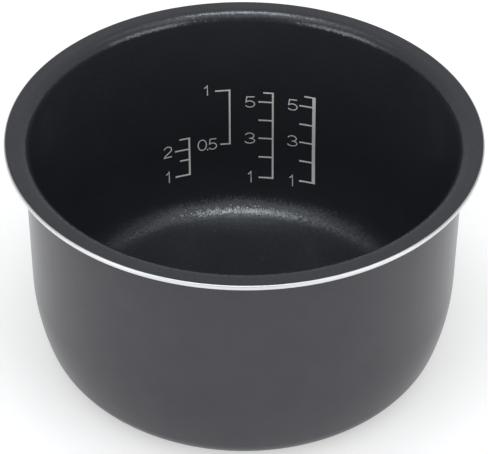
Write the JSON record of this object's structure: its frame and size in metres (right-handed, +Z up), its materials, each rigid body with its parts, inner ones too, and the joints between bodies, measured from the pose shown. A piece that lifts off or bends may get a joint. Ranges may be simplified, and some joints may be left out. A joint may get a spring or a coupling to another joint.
{
  "type": "rice cooker inner pan",
  "caption": "Round drawn-metal inner pan for an electric rice cooker, with a wide flat rim, rounded base corner, dark non-stick inside and printed water-level scales.",
  "frame": {"origin": "centre of the flat contact face under the base", "axes": "+Z up out of the pan's mouth, -Y towards the front of the view, the printed scales on the wall at +Y facing -Y, +X to the right"},
  "size_m": [0.212, 0.212, 0.1156],
  "materials": {
    "bare_aluminium": "turned bare metal, satin to bright",
    "grey_coat": "dark grey heat-proof coat, satin",
    "black_lining": "black non-stick coat with a fine sparkle, satin",
    "scale_ink": "pale grey printed ink, matt"
  },
  "bodies": {
    "root": {"pan_body": "bare_aluminium", "outer_coating": "grey_coat", "nonstick_lining": "black_lining", "white_rice_scale": "scale_ink", "sushi_rice_scale": "scale_ink", "porridge_scale": "scale_ink", "oatmeal_scale": "scale_ink"}
  },
  "joints": []
}
